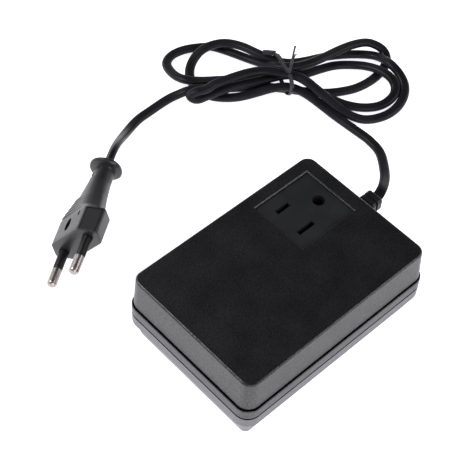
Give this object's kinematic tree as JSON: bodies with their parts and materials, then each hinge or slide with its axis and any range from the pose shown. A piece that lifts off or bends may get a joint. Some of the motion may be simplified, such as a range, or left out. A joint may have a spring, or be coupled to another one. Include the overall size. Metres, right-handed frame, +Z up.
{
  "type": "travel voltage converter",
  "caption": "Flat black transformer case with a let-in mains outlet, a bundled flat cord in a tied hank and a slim moulded plug.",
  "frame": {"origin": "middle of the case's flat underside", "axes": "+Z up out of the outlet, +Y along the case towards the cord, +X across it"},
  "size_m": [0.1712, 0.2021, 0.0355],
  "materials": {
    "case_plastic": "fine moulded texture, low sheen",
    "outlet_plastic": "fine moulded texture",
    "cord_jacket": "soft satin",
    "plug_plastic": "satin moulding",
    "carrier_plastic": "matte",
    "pin_metal": "bright nickel plate",
    "sleeve_plastic": "matte",
    "tie_plastic": "satin",
    "contact_brass": "satin",
    "screw_steel": "zinc plate",
    "core_steel": "varnished laminations",
    "bobbin_nylon": "natural nylon",
    "winding_wire": "enamelled wire",
    "winding_tape": "polyester tape",
    "fuse_case": "glazed",
    "wire_jacket": "pvc"
  },
  "bodies": {
    "root": {"top_shell": "case_plastic", "bottom_shell": "case_plastic", "case_screws": "screw_steel", "outlet_face": "outlet_plastic", "outlet_back": "outlet_plastic", "outlet_back_screws": "screw_steel", "line_contact": "contact_brass", "neutral_contact": "contact_brass", "core_e_stack": "core_steel", "core_i_stack": "core_steel", "core_washers": "screw_steel", "core_screws": "screw_steel", "bobbin": "bobbin_nylon", "winding_inner": "winding_wire", "winding_tape": "winding_tape", "winding_outer": "winding_wire", "outer_tape": "winding_tape", "bobbin_terminals": "contact_brass", "thermal_fuse": "fuse_case", "wire_in_line": "wire_jacket", "wire_in_neutral": "wire_jacket", "wire_fuse_out": "wire_jacket", "wire_out_line": "wire_jacket", "wire_out_neutral": "wire_jacket", "strain_relief": "plug_plastic", "cord_inside_relief": "cord_jacket", "cord_from_case": "cord_jacket", "cord_hank": "cord_jacket", "cord_to_plug": "cord_jacket", "twist_tie": "tie_plastic", "plug_body": "plug_plastic", "pin_carrier": "carrier_plastic", "plug_pins": "pin_metal", "pin_sleeves": "sleeve_plastic"}
  },
  "joints": []
}
